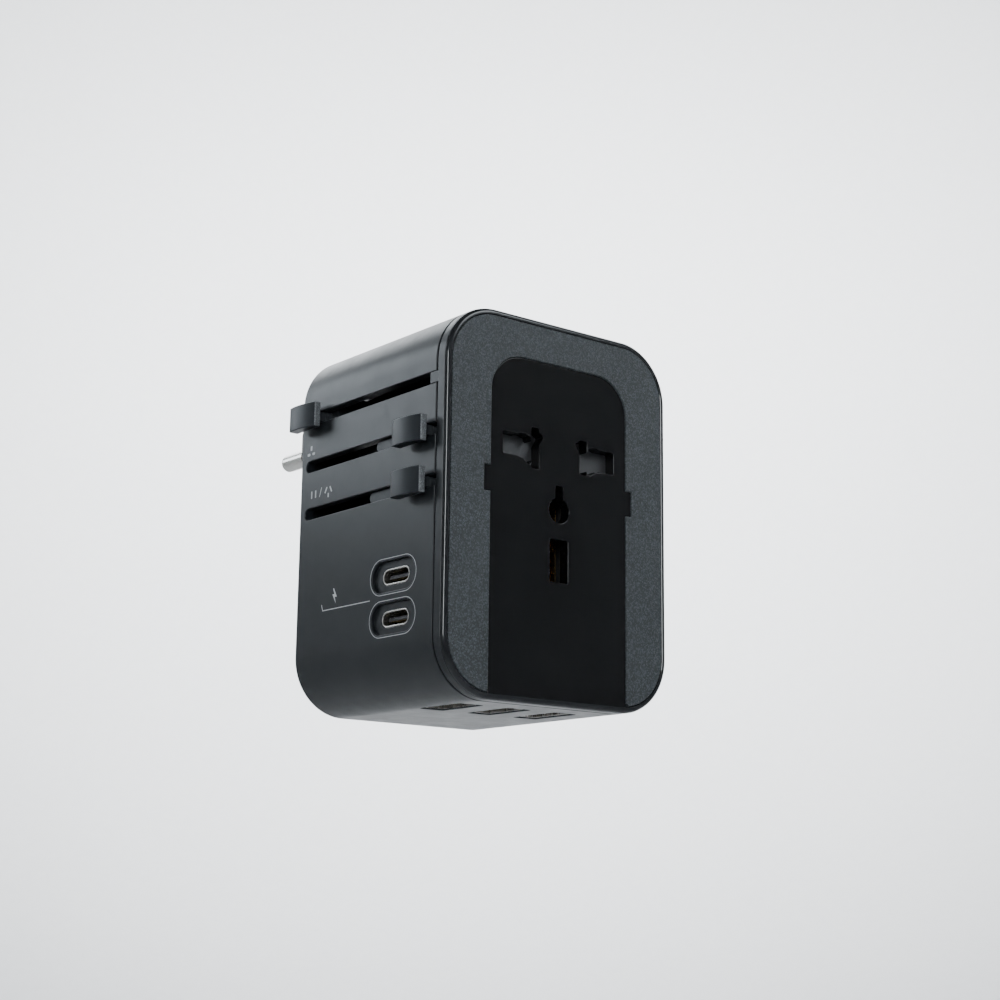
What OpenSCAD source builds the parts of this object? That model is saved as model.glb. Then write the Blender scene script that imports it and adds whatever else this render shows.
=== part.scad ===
// Universal travel adapter with three sliding plug sets.
// Frame: +Z up, the socket face looks along -Y, the plug face lies on Y = 0 and looks along +Y.
// The origin is the centre of the plug face. Everything is in millimetres, drawn at rest:
// the European plug pushed out, the British and the American/Australian plugs drawn in.

/* [Case] */
// Width of the case, left to right
case_w = 58; // [58:0.5:62]
// Height of the case
case_h = 78; // [78:0.5:82]
// Radius of the four long corners
corner_r = 12; // [11:0.25:12.5]
// Depth of the shell, from the plug face to the seam
shell_d = 48.55; // [48.55:0.05:49]
// Thickness of the shell's walls
wall = 2; // [1.8:0.1:2.1]
// Thickness of the wall behind the plugs
rear_wall = 2.2; // [2:0.1:2.3]
// Rounding of the shell's rear edge
rear_edge_r = 1.2; // [0.8:0.1:1.5]

/* [Front cover] */
// Height of the cover's plain side band
cover_band = 2.4; // [2.2:0.1:2.6]
// Size of the polished bevel around the face
cover_bevel = 0.85; // [0.6:0.05:1]
// Thickness of the cover's face
cover_t = 2; // [1.8:0.1:2.2]

/* [Socket panel] */
// Half width of the panel
panel_half_w = 17.8; // [17.5:0.1:18]
// Height of the panel's top edge above the middle
panel_top_z = 30.3; // [29:0.1:31]
// Radius of the panel's top corners
panel_r = 8; // [6:0.5:9]
// How far the panel lies below the face
panel_inset = 0.3; // [0.2:0.05:0.5]
// Height of the live and neutral holes above the middle
socket_z = 12.2; // [12:0.1:12.4]

/* [Sliders] */
// Height of the top slot above the middle
slot_top_z = 23.5; // [23.4:0.1:23.6]
// Distance from slot to slot
slot_pitch = 10.3; // [10.2:0.1:10.4]
// Width of each slot
slot_h = 2.4; // [2.3:0.1:2.6]
// Distance from the plug face to the rear end of the slots
slot_rear = 2.55; // [2.5:0.05:2.6]
// Length of a knob
knob_len = 8.8; // [8.6:0.1:9]
// Height of a knob
knob_h = 5.3; // [5:0.1:5.6]
// Thickness of a knob at its crown
knob_t = 2.4; // [2.3:0.1:2.6]
// Gap between a knob and the case
knob_gap = 1.2; // [1:0.1:1.4]
// Travel of the European plug
eu_travel = 37; // [36.8:0.1:37]
// Travel of the British plug
uk_travel = 24.7; // [24.5:0.1:24.7]
// Travel of the American/Australian plug
us_travel = 22.7; // [22.5:0.1:22.7]

/* [Plugs] */
// Length of the European plug's base that stands out
eu_base_out = 17.5; // [17:0.1:17.5]
// Diameter of the European pins
eu_pin_d = 4; // [3.9:0.05:4.05]
// Distance between the European pins
eu_pin_pitch = 19; // [18.8:0.1:19]
// Distance between the British live and neutral pins
uk_pin_pitch = 22.2; // [22.1:0.1:22.3]
// Distance between the American blades
us_blade_pitch = 13; // [12.9:0.1:13.1]

/* [Ports] */
// Distance between the USB-A ports
usb_a_pitch = 12; // [11.8:0.1:12]
// Distance between the USB-C ports
usb_c_pitch = 8.4; // [8.2:0.1:8.4]

/* [Hidden] */
$fn = 48;
eps = 0.01;
gap = 0.3;

// Case
half_w = case_w / 2;
half_h = case_h / 2;
inner_w = case_w - 2 * wall;
inner_h = case_h - 2 * wall;
inner_r = corner_r - wall;
inner_left = -half_w + wall;
seam_y = -shell_d;
rear_in_y = -rear_wall;
band_y = seam_y - cover_band;
face_y = band_y - cover_bevel;
cover_in_y = face_y + cover_t;
panel_y = face_y + panel_inset;
panel_back_y = cover_in_y + 0.8;

// Screws that close the case
screw_x = half_w - 7;
screw_z = half_h - 7;
screw_r = 1.45;
screw_head_r = 2.7;
screw_joint_y = -30;
screw_tip_y = -41;

// Slots, from the top: European, British, American/Australian
eu_slot_z = slot_top_z;
uk_slot_z = slot_top_z - slot_pitch;
us_slot_z = slot_top_z - 2 * slot_pitch;
rib_h = slot_h - 0.4;
rib_face_x = -half_w + 0.9;
plate_x0 = inner_left + gap;
plate_x1 = plate_x0 + 1.7;
knob_in_x = -half_w - knob_gap;
knob_out_x = knob_in_x - knob_t;
knob_crown_r = 16;
knob_crown_y = 1.3;
stem_front = -3.1;
stem_rear = 1.1;
stem_into_knob = 0.8;
eu_knob_y = -4.8;
uk_knob_y = -42.8;
us_knob_y = -42.6;
eu_bar_y0 = -9;
eu_bar_y1 = -3;
uk_bar_y0 = -46.7;
us_bar_y0 = -46.5;

// European plug
eu_z = 24.2;
eu_base_w = 35.3;
eu_base_h = 13.7;
eu_base_r = 5.5;
eu_front_y = -10.6;
eu_tip_y = eu_base_out + 19;
eu_core_r = 1.3;
eu_sleeve_len = 10;

// British plug: live and neutral above, earth below
uk_z = uk_slot_z;
uk_earth_z = uk_z - 22.2;
uk_pin_w = 6.3;
uk_pin_h = 4;
uk_earth_w = 4;
uk_earth_h = 8;
uk_block_y1 = rear_in_y - 0.2 - uk_travel;
uk_block_t = 4;
uk_earth_block_t = 1.9;
uk_pin_out = 17.7;
uk_earth_out = 22.7;
uk_sleeve_out = 9.5;
uk_neck = 0.6;
uk_top_z0 = 9.2;
uk_top_z1 = 16.8;
uk_arm_x0 = 12.2;
uk_arm_x1 = 16.5;
uk_low_z0 = uk_earth_z - 4.2;
uk_low_z1 = uk_earth_z + 4.4;

// American/Australian plug
us_z = us_slot_z;
us_block_y1 = rear_in_y - 0.2 - us_travel;
us_block_y0 = us_block_y1 - 4.2;
us_back_t = 0.7;
us_half_h = 4.6;
us_block_x1 = us_blade_pitch / 2 + 4.7;
blade_w = 6.3;
blade_t = 1.5;
blade_out = 17.5;
blade_tip_y = us_block_y1 + 0.2 + rear_wall + blade_out;
rotor_neck_r = 3.45;
rotor_disk_r = 4;
rotor_lip_t = 2.3;
blade_twist = 30;

// Universal socket
earth_hole_z = socket_z - 22.2;
us_earth_z = socket_z - 11.9;
contact_y0 = -46.6;
contact_y1 = -33;
carrier_y0 = -47.5;
carrier_y1 = -31.6;
carrier_half_w = 21;
shutter_y0 = -48.8;
shutter_y1 = -47.8;
shutter_z0 = socket_z - 4.2;
shutter_z1 = socket_z + 4.2;
shutter_bar = 2;
spring_x = 20.6;
spring_r = 1.2;
spring_wire_r = 0.18;
spring_len = 10.4;
spring_top = shutter_z1 + shutter_bar + spring_len;
spring_turns = 4;
spring_y = (shutter_y0 + shutter_y1) / 2;

// USB ports
usb_a_x0 = -14.5;
usb_a_y = -35.9;
usb_a_w = 13.1;
usb_a_t = 5.7;
usb_a_sheet = 0.3;
usb_a_mouth_z = -half_h + 0.3;
usb_c_y = -35.3;
usb_c_z0 = -14.2;
usb_c_w = 8.94;
usb_c_t = 3.26;
usb_c_sheet = 0.3;
usb_c_recess_w = 14.4;
usb_c_recess_h = 6.2;
usb_c_recess_d = 0.8;
usb_c_mouth_x = -half_w + usb_c_recess_d;

// Boards
pcb_z1 = -24.6;
pcb_t = 1.6;
pcb_z0 = pcb_z1 - pcb_t;
pcb_half_w = half_w - wall - 0.5;
pcb_y0 = -46.2;
pcb_y1 = -3;
c_board_x0 = -18.6;
c_board_t = 1.2;

// Extrudes a profile drawn in X and Z along Y, from y0 to y1.
module along_y(y0, y1) {
    translate([0, y1, 0]) rotate([90, 0, 0]) linear_extrude(y1 - y0) children();
}

// Extrudes a profile drawn in Y and Z along X, from x0 to x1.
module along_x(x0, x1) {
    translate([x0, 0, 0]) rotate([90, 0, 90]) linear_extrude(x1 - x0) children();
}

// Extrudes a profile drawn in X and Y along Z, from z0 to z1.
module along_z(z0, z1) {
    translate([0, 0, z0]) linear_extrude(z1 - z0) children();
}

// A box between two corners.
module block(a, b) {
    translate(a) cube([b[0] - a[0], b[1] - a[1], b[2] - a[2]]);
}

// A round rod along Y.
module rod_y(x, z, r, y0, y1) {
    translate([x, y1, z]) rotate([90, 0, 0]) cylinder(r = r, h = y1 - y0);
}

// Rectangle with true arcs at its corners, centred.
module round_rect(w, h, r) {
    square([w - 2 * r, h], center = true);
    square([w, h - 2 * r], center = true);
    for (sx = [-1, 1], sz = [-1, 1]) {
        translate([sx * (w / 2 - r), sz * (h / 2 - r)]) circle(r);
    }
}

// Layer of a rounded block whose edge follows a small profile, e deep and e wide.
// The layer grows along -Y from y, and the profile's inner corner is its origin.
module edge_layer(w, h, r, e, y, towards = -1) {
    translate([0, y, 0]) scale([1, towards, 1]) {
        for (sx = [-1, 1], sz = [-1, 1]) {
            translate([sx * (w / 2 - r), 0, sz * (h / 2 - r)]) rotate([-90, 0, 0]) rotate_extrude() {
                square([r - e, e]);
                translate([r - e, 0]) children();
            }
        }
        translate([0, 0, r - h / 2]) linear_extrude(h - 2 * r) {
            translate([e - w / 2, 0]) square([w - 2 * e, e]);
            translate([w / 2 - e, 0]) children();
            mirror([1, 0]) translate([w / 2 - e, 0]) children();
        }
        rotate([0, -90, 0]) translate([0, 0, r - w / 2]) linear_extrude(w - 2 * r) {
            translate([e - h / 2, 0]) square([h - 2 * e, e]);
            translate([h / 2 - e, 0]) children();
            mirror([1, 0]) translate([h / 2 - e, 0]) children();
        }
    }
}

// Quarter round of radius e, for edge_layer.
module round_edge(e) {
    intersection() {
        circle(e);
        square(e);
    }
}

// Straight bevel of size e, for edge_layer.
module bevel_edge(e) {
    polygon([[0, 0], [e, 0], [0, e]]);
}

// Pattern of the four case screws.
module at_screws() {
    for (sx = [-1, 1], sz = [-1, 1]) {
        translate([sx * screw_x, 0, sz * screw_z]) children();
    }
}

// Outline of the European plug's base, grown by g.
module eu_outline(g) {
    translate([0, eu_z]) round_rect(eu_base_w + 2 * g, eu_base_h + 2 * g, eu_base_r + g);
}

// Outline of the socket panel, grown by g, down to z0.
module panel_outline(g, z0) {
    w = panel_half_w + g;
    corner_z = panel_top_z - panel_r;
    translate([-w, z0]) square([2 * w, corner_z - z0]);
    for (sx = [-1, 1]) {
        translate([sx * (panel_half_w - panel_r), corner_z]) circle(panel_r + g);
    }
    translate([panel_r - panel_half_w, corner_z - eps]) {
        square([2 * (panel_half_w - panel_r), panel_r + g + eps]);
    }
    translate([-w - 1.6, 1.7 - g]) square([2 * w + 3.2, 5.25 + 2 * g]);
}

// Slot of length l along Z and width w, turned by a about Y, at x, z.
module turned_slot(x, z, w, l, a) {
    translate([x, z]) rotate(a) square([w, l], center = true);
}

// Fan that a twisting blade needs, mirrored by s.
module blade_fan(s) {
    for (i = [0:4]) {
        turned_slot(s * us_blade_pitch / 2, us_z, blade_t + 0.7, blade_w + 0.5, s * i * blade_twist / 4);
    }
}

// Shell: one deep cup whose slots run out to the seam, so the sliders go in from the front.
module main_shell() {
    color("#41464b") difference() {
        union() {
            difference() {
                union() {
                    along_y(seam_y, -rear_edge_r) round_rect(case_w, case_h, corner_r);
                    edge_layer(case_w, case_h, corner_r, rear_edge_r, -rear_edge_r, 1) round_edge(rear_edge_r);
                }
                along_y(seam_y - 1, rear_in_y) round_rect(inner_w, inner_h, inner_r);
            }
            at_screws() rod_y(0, 0, 3.2, screw_joint_y, rear_in_y + 0.5);
            for (s = [-1, 1]) {
                board_ledge(s);
            }
        }
        at_screws() rod_y(0, 0, screw_r + 0.15, screw_joint_y - 1, 1);
        at_screws() rod_y(0, 0, screw_head_r + 0.2, -1.5, 1);
        for (z = [eu_slot_z, uk_slot_z, us_slot_z]) {
            side_slot(z);
        }
        for (i = [0, 1]) {
            usb_c_cutout(i);
        }
        for (i = [0:2]) {
            usb_a_cutout(i);
        }
        plug_openings();
    }
}

// Ledge that carries the main board, on the side s.
module board_ledge(s) {
    x0 = half_w - wall - 1.5;
    mirror([s < 0 ? 1 : 0, 0, 0]) block([x0, -44, pcb_z0 - 1.2], [half_w - wall + 0.5, rear_in_y + 0.5, pcb_z0]);
}

// One side slot, open at the seam and round at its rear end.
module side_slot(z) {
    r = slot_h / 2;
    along_x(-half_w - 1, inner_left + 0.1) {
        translate([seam_y - 1, z - r]) square([shell_d + 1 - slot_rear - r, slot_h]);
        translate([-slot_rear - r, z]) circle(r);
    }
}

// Shallow oval recess and the opening for one USB-C port.
module usb_c_cutout(i) {
    z = usb_c_z0 - i * usb_c_pitch;
    along_x(-half_w - 1, usb_c_mouth_x) {
        translate([usb_c_y, z]) round_rect(usb_c_recess_w, usb_c_recess_h, usb_c_recess_h / 2 - eps);
    }
    along_x(-half_w - 1, inner_left + 1) {
        translate([usb_c_y, z]) round_rect(usb_c_w + 0.2, usb_c_t + 0.2, usb_c_t / 2 + 0.05);
    }
}

// Opening for one USB-A port in the bottom wall.
module usb_a_cutout(i) {
    along_z(-half_h - 1, -half_h + wall + 1) {
        translate([usb_a_x0 + i * usb_a_pitch, usb_a_y]) round_rect(usb_a_t + 0.2, usb_a_w + 0.2, 0.6);
    }
}

// Openings in the rear wall that the three plugs pass through.
module plug_openings() {
    along_y(rear_in_y - 1, 1) eu_outline(gap);
    along_y(rear_in_y - 1, 1) {
        for (s = [-1, 1]) {
            translate([s * uk_pin_pitch / 2, uk_z]) square([uk_pin_w + 0.6, uk_pin_h + 0.6], center = true);
        }
        translate([0, uk_earth_z]) square([uk_earth_w + 0.6, uk_earth_h + 0.6], center = true);
    }
    for (s = [-1, 1]) {
        along_y(rear_in_y - 1, 1) blade_fan(s);
    }
}

// Front cover: plain band, polished bevel and face, with the panel's opening.
module front_cover() {
    color("#3a3e42") difference() {
        union() {
            difference() {
                union() {
                    along_y(band_y, seam_y) round_rect(case_w, case_h, corner_r);
                    edge_layer(case_w, case_h, corner_r, cover_bevel, band_y) bevel_edge(cover_bevel);
                }
                along_y(cover_in_y, seam_y + 1) round_rect(inner_w, inner_h, inner_r);
            }
            at_screws() rod_y(0, 0, 3, cover_in_y - 0.5, screw_joint_y - 0.1);
            cover_lips();
            block([-half_w + 0.05, band_y + 0.5, eu_slot_z - 1.15], [inner_left - 0.1, seam_y + 2.3, eu_slot_z + 1.15]);
            block([spring_x - 1.4, cover_in_y - 0.5, spring_top + 0.1], [spring_x + 1.4, -46.9, spring_top + 1.6]);
        }
        at_screws() rod_y(0, 0, screw_r, screw_tip_y, screw_joint_y + 1);
        along_y(face_y - 1, cover_in_y + eps) panel_outline(0.05, -37.95);
    }
}

// Lips that centre the cover in the shell, clear of the side slots.
module cover_lips() {
    y1 = -45.5;
    y0 = cover_in_y - 0.5;
    block([-14, y0, half_h - wall - 1.3], [14, y1, half_h - wall - 0.1]);
    block([-15, cover_in_y + 0.1, -half_h + wall - 0.1], [15, seam_y - 0.15, -half_h + wall + 1.3]);
    block([-15, cover_in_y + 0.1, -half_h + wall + 0.1], [15, y1, -half_h + wall + 1.3]);
    block([half_w - wall - 1.3, y0, -20], [half_w - wall - 0.1, y1, 20]);
    block([-half_w + wall + 0.1, y0, -24], [-half_w + wall + 1.3, y1, -6]);
}

// Holes of the universal socket, live on the right.
module socket_holes() {
    for (s = [-1, 1]) {
        translate([s * 9.5, socket_z]) circle(2.55);
        translate([s * uk_pin_pitch / 2, socket_z]) square([7, 4.5], center = true);
        turned_slot(s * 6.35, socket_z, 1.9, s > 0 ? 7 : 8.3, 0);
        turned_slot(s * 6.85, socket_z, 1.9, 7.2, s * blade_twist);
    }
    translate([0, us_earth_z]) circle(2.55);
    translate([0, us_earth_z + 1.4]) square([1.9, 7.2], center = true);
    translate([0, earth_hole_z]) square([4.6, 8.6], center = true);
}

// Socket panel: glossy insert with a flange behind the cover's opening.
module socket_panel() {
    color("#0d0e10") difference() {
        union() {
            along_y(panel_y, cover_in_y + eps) panel_outline(0, -37.9);
            along_y(cover_in_y, panel_back_y) panel_outline(1.1, -half_h + wall + 1.6);
        }
        along_y(face_y - 1, panel_back_y + 1) socket_holes();
    }
}

// The four screws that hold the cover on the shell.
module case_screws() {
    color("silver") at_screws() difference() {
        union() {
            rod_y(0, 0, screw_r, screw_tip_y + 0.5, -1.5);
            rod_y(0, 0, screw_head_r, -1.5, -0.3);
        }
        along_y(-1.1, 0) circle(1.3, $fn = 3);
    }
}

// Chassis: carries the socket contacts and guides the three carriages.
module chassis() {
    shelf_x0 = -24.3;
    color("#26282b") difference() {
        union() {
            block([-carrier_half_w, carrier_y0, -4], [carrier_half_w, carrier_y1, 16.7]);
            block([-7, carrier_y0, uk_low_z0 - 2.1], [7, carrier_y1, -3.9]);
            block([shelf_x0, carrier_y1 - eps, 7.85], [11.6, rear_in_y - 0.1, 8.85]);
            block([shelf_x0, carrier_y1 - eps, -3.7], [11.6, rear_in_y - 0.1, -2.2]);
            block([-5, carrier_y1 - eps, uk_low_z0 - 1.4], [18.1, rear_in_y - 0.1, uk_low_z0 - gap]);
            block([uk_arm_x1 + 0.4, carrier_y1 - eps, uk_low_z0 - 1.4], [18.1, rear_in_y - 0.1, 16.7]);
            block([-7, carrier_y1 - 1, uk_low_z0 - 2.1], [18.1, carrier_y1, uk_low_z0 - 0.3]);
            block([7, carrier_y1 - 2, uk_low_z0 - 1.4], [18.1, carrier_y1, -3.9]);
            block([eu_base_w / 2 + gap, -44.5, 16.6], [18.6, rear_in_y - 0.1, 32.4]);
            block([-16, -44.5, eu_z + eu_base_h / 2 + gap], [18.6, rear_in_y - 0.1, 32.4]);
        }
        for (s = [-1, 1]) {
            contact_pocket(s);
        }
        block([-3.9, carrier_y0 - 1, uk_low_z0 - 0.6], [3.9, -29, us_earth_z + 4.7]);
    }
}

// Pocket for the live or the neutral contact, on the side s.
module contact_pocket(s) {
    mirror([s < 0 ? 1 : 0, 0, 0]) block([4.4, carrier_y0 - 1, 8.6], [15.6, -32.6, 15.9]);
}

// Live or neutral contact: two leaves for round and British pins and one for the blades.
module contact_pair(s) {
    mirror([s < 0 ? 1 : 0, 0, 0]) {
        block([4.7, contact_y1 - 0.6, 9], [15.2, contact_y1, 15.5]);
        for (z = [socket_z - 3, socket_z + 2.5]) {
            block([8, contact_y0, z], [14.8, contact_y1 - 0.5, z + 0.5]);
        }
        block([4.8, contact_y0 + 1, 9.4], [5.3, contact_y1 - 0.5, 15]);
    }
}

module contact_live() {
    color("goldenrod") contact_pair(1);
}

module contact_neutral() {
    color("goldenrod") contact_pair(-1);
}

// Earth contact: one clip for the British and the American earth pins.
module contact_earth() {
    color("goldenrod") {
        for (s = [-1, 1]) {
            mirror([s < 0 ? 1 : 0, 0, 0]) block([2.7, contact_y0, uk_low_z0 - 0.4], [3.2, -30.1, us_earth_z + 3]);
        }
        block([-3.2, -30.6, uk_low_z0 - 0.4], [3.2, -30.1, us_earth_z + 3]);
    }
}

// Live bus: strip on the right of the chassis with a tab down to the board.
module live_bus() {
    x0 = carrier_half_w;
    color("peru") {
        block([x0, -46, 2], [x0 + 0.6, -12, 9]);
        block([x0, -40, pcb_z1], [x0 + 0.6, -36, 2 + eps]);
    }
}

// Neutral bus: strip on the left of the chassis with a tab down to the board.
module neutral_bus() {
    x0 = -carrier_half_w - 0.6;
    color("peru") {
        block([x0, -46, 2], [x0 + 0.6, -32.5, 9]);
        block([x0, -46, -3.5], [x0 + 0.6, -43, 2 + eps]);
        block([x0, -46, pcb_z1], [x0 + 0.6, -45.2, -3.5 + eps]);
    }
}

// Earth bus: strip under the earth contact.
module earth_bus() {
    color("peru") block([-2, -46, uk_low_z0 - 2.7], [2, -34, uk_low_z0 - 2.1]);
}

// Shutter that covers the live and neutral holes and slides up as a plug goes in.
module socket_shutter() {
    color("#303236") along_y(shutter_y0, shutter_y1) {
        for (s = [-1, 1]) {
            translate([s * 9.55 - 5.65, shutter_z0]) square([11.3, shutter_z1 - shutter_z0]);
        }
        translate([-15.2, shutter_z1 - eps]) square([spring_x + 1.4 + 15.2, shutter_bar + eps]);
    }
}

// Coil spring that pushes the shutter down: a round section carried along a helix.
module shutter_spring() {
    sides = 8;
    steps = spring_turns * 12;
    z0 = shutter_z1 + shutter_bar + spring_wire_r + 0.02;
    rise = spring_len - 2 * spring_wire_r - 0.04;
    points = [for (i = [0:steps]) for (k = [0:sides - 1])
        let (t = i / 12, a = 360 * k / sides, r = spring_r + spring_wire_r * cos(a))
        [r * cos(360 * t), r * sin(360 * t), z0 + rise * i / steps + spring_wire_r * sin(a)]];
    walls = [for (i = [0:steps - 1]) for (k = [0:sides - 1])
        let (n = (k + 1) % sides)
        [i * sides + k, i * sides + n, (i + 1) * sides + n, (i + 1) * sides + k]];
    ends = [[for (k = [sides - 1:-1:0]) k], [for (k = [0:sides - 1]) steps * sides + k]];
    color("silver") translate([spring_x, spring_y, 0]) polyhedron(points, concat(walls, ends));
}

// Two leaf springs between the slider plates, which click into the plates' ends.
module detent_springs() {
    color("silver") {
        for (z = [uk_slot_z - 4.95, uk_slot_z + 4.75]) {
            detent_leaf(z);
        }
    }
}

// One leaf: a flat strip with a low bump near each end.
module detent_leaf(z) {
    along_x(inner_left, inner_left + 1.5) {
        translate([-44, z - 0.2]) square([40, 0.4]);
        for (y = [-40, -8]) {
            translate([y, z]) square([3, 0.9], center = true);
        }
    }
}

// Knob: a slab with a crowned thumb face, thickest towards the plugs, and a pocket for the stem.
module knob(y, z) {
    difference() {
        intersection() {
            block([knob_out_x, y - knob_len / 2, z - knob_h / 2], [knob_in_x, y + knob_len / 2, z + knob_h / 2]);
            translate([knob_out_x + knob_crown_r, y + knob_crown_y, z - knob_h]) {
                cylinder(r = knob_crown_r, h = 2 * knob_h, $fn = 180);
            }
        }
        block([knob_in_x - stem_into_knob, y + stem_front, z - rib_h / 2], [knob_in_x + 1, y + stem_rear, z + rib_h / 2]);
    }
}

// Side plate, the bar that fills the slot behind it and the stem that carries the knob.
module slider_side(knob_y, z, bar_y0, bar_y1, plate_y0, plate_y1, plate_z0, plate_z1) {
    r = rib_h / 2;
    block([plate_x0, plate_y0, plate_z0], [plate_x1, plate_y1, plate_z1]);
    along_x(rib_face_x, plate_x0 + eps) {
        translate([bar_y0 + r, z - r]) square([bar_y1 - bar_y0 - rib_h, rib_h]);
        for (y = [bar_y0 + r, bar_y1 - r]) {
            translate([y, z]) circle(r);
        }
    }
    block([knob_in_x - stem_into_knob, knob_y + stem_front, z - r], [rib_face_x + eps, knob_y + stem_rear, z + r]);
}

module eu_knob() {
    color("#2c3136") knob(eu_knob_y, eu_slot_z);
}

module uk_knob() {
    color("#2c3136") knob(uk_knob_y, uk_slot_z);
}

module us_aus_knob() {
    color("#2c3136") knob(us_knob_y, us_slot_z);
}

// European carriage: the plug's base, its arm and its side plate.
module eu_carriage() {
    color("#34393e") difference() {
        union() {
            along_y(eu_front_y, eu_base_out) eu_outline(0);
            block([plate_x1 - eps, eu_front_y, eu_slot_z - 4.5], [-eu_base_w / 2 + 1, -4, eu_slot_z + 4.5]);
            slider_side(eu_knob_y, eu_slot_z, eu_bar_y0, eu_bar_y1, eu_front_y, rear_in_y - 0.2,
                eu_slot_z - 4.5, eu_slot_z + 4.5);
        }
        for (s = [-1, 1]) {
            rod_y(s * eu_pin_pitch / 2, eu_z, eu_core_r, -7, eu_base_out + 1);
        }
    }
}

// European pin: round tip, full diameter outside and a thin core under the sleeve.
module eu_pin(s) {
    r = eu_pin_d / 2;
    sleeve_y1 = eu_base_out + eu_sleeve_len;
    color("gainsboro") translate([s * eu_pin_pitch / 2, 0, eu_z]) rotate([-90, 0, 0]) rotate_extrude() {
        translate([0, -7]) square([eu_core_r, sleeve_y1 + 7 + eps]);
        translate([0, sleeve_y1]) square([r, eu_tip_y - 1 - sleeve_y1]);
        translate([0, eu_tip_y - 1 - eps]) square([r - 1, 1 + eps]);
        translate([r - 1, eu_tip_y - 1]) round_edge(1);
    }
}

module eu_pin_live() {
    eu_pin(1);
}

module eu_pin_neutral() {
    eu_pin(-1);
}

// Insulating sleeves on the European pins.
module eu_pin_sleeves() {
    color("#1b1d1f") for (s = [-1, 1]) {
        difference() {
            rod_y(s * eu_pin_pitch / 2, eu_z, eu_pin_d / 2 - 0.2, eu_base_out, eu_base_out + eu_sleeve_len);
            rod_y(s * eu_pin_pitch / 2, eu_z, eu_core_r, eu_base_out - 1, eu_base_out + eu_sleeve_len + 1);
        }
    }
}

// British carriage: a C that passes round the American/Australian one.
module uk_carriage() {
    y1 = uk_block_y1;
    y0 = y1 - uk_block_t;
    color("#34393e") difference() {
        union() {
            block([plate_x1 - eps, y0, uk_top_z0], [uk_arm_x1, y1, uk_top_z1]);
            block([uk_arm_x0, y0, uk_low_z0], [uk_arm_x1, y1, uk_top_z0 + eps]);
            block([-4, y1 - uk_earth_block_t, uk_low_z0], [uk_arm_x0 + eps, y1, uk_low_z1]);
            slider_side(uk_knob_y, uk_slot_z, uk_bar_y0, y1 - 0.25, uk_bar_y0 - 0.2, y1,
                uk_slot_z - 3.6, uk_slot_z + 3.6);
        }
        for (s = [-1, 1]) {
            uk_pin_hole(s * uk_pin_pitch / 2, uk_z, uk_pin_w - 2 * uk_neck, uk_pin_h - 2 * uk_neck, y1 - 3);
        }
        uk_pin_hole(0, uk_earth_z, uk_earth_w, uk_earth_h - 2, y1 - 1.2);
    }
}

// Pocket for the root of one British pin.
module uk_pin_hole(x, z, w, h, y0) {
    translate([x, 0, z]) block([-w / 2, y0, -h / 2], [w / 2, uk_block_y1 + 1, h / 2]);
}

// Bar along Y with a bevelled tip, w wide and h high, ending at y1.
module pin_bar(w, h, y0, y1, c) {
    intersection() {
        along_z(-h / 2, h / 2) {
            polygon([[-w / 2, y0], [w / 2, y0], [w / 2, y1 - c], [w / 2 - c, y1], [c - w / 2, y1], [-w / 2, y1 - c]]);
        }
        along_x(-w / 2, w / 2) {
            polygon([[y0, -h / 2], [y0, h / 2], [y1 - c, h / 2], [y1, h / 2 - c], [y1, c - h / 2], [y1 - c, -h / 2]]);
        }
    }
}

// British live or neutral pin, thinner under its sleeve.
module uk_pin(s) {
    y1 = uk_block_y1;
    base_y = y1 + 0.2 + rear_wall;
    neck_y = base_y + uk_sleeve_out;
    color("gainsboro") translate([s * uk_pin_pitch / 2, 0, uk_z]) {
        block([-uk_pin_w / 2 + uk_neck, y1 - 3, -uk_pin_h / 2 + uk_neck],
            [uk_pin_w / 2 - uk_neck, neck_y + eps, uk_pin_h / 2 - uk_neck]);
        pin_bar(uk_pin_w, uk_pin_h, neck_y, base_y + uk_pin_out, 0.9);
    }
}

module uk_pin_live() {
    uk_pin(-1);
}

module uk_pin_neutral() {
    uk_pin(1);
}

// British earth pin.
module uk_pin_earth() {
    y1 = uk_block_y1;
    color("gainsboro") translate([0, 0, uk_earth_z]) {
        block([-uk_earth_w / 2, y1 - 1.2, 1 - uk_earth_h / 2], [uk_earth_w / 2, y1 + eps, uk_earth_h / 2 - 1]);
        pin_bar(uk_earth_w, uk_earth_h, y1, y1 + 0.2 + rear_wall + uk_earth_out, 0.9);
    }
}

// Insulating sleeves on the British pins.
module uk_pin_sleeves() {
    y0 = uk_block_y1;
    y1 = y0 + 0.2 + rear_wall + uk_sleeve_out;
    color("#1b1d1f") for (s = [-1, 1]) {
        translate([s * uk_pin_pitch / 2, 0, uk_z]) along_y(y0, y1) difference() {
            square([uk_pin_w, uk_pin_h], center = true);
            square([uk_pin_w - 2 * uk_neck, uk_pin_h - 2 * uk_neck], center = true);
        }
    }
}

// American/Australian carriage, with a bearing for each blade's rotor.
module us_aus_carriage() {
    y0 = us_block_y0;
    y1 = us_block_y1;
    color("#34393e") difference() {
        union() {
            block([plate_x1 - eps, y0, us_z - us_half_h], [us_block_x1, y1, us_z + us_half_h]);
            slider_side(us_knob_y, us_slot_z, us_bar_y0, y1 - 0.25, us_bar_y0 - 0.2, y1,
                us_z - us_half_h, us_z + us_half_h);
        }
        for (s = [-1, 1]) {
            rod_y(s * us_blade_pitch / 2, us_z, rotor_neck_r + 0.07, y0 - 1, y1 + 1);
            rod_y(s * us_blade_pitch / 2, us_z, rotor_disk_r + 0.1, y0 - 1, y1 - rotor_lip_t);
        }
    }
}

// Plate that closes the rotor bearings from the front.
module us_aus_backplate() {
    color("#26282b") {
        block([-us_block_x1, us_block_y0 - us_back_t, us_z - us_half_h],
            [us_block_x1, us_block_y0, us_z + us_half_h]);
    }
}

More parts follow.
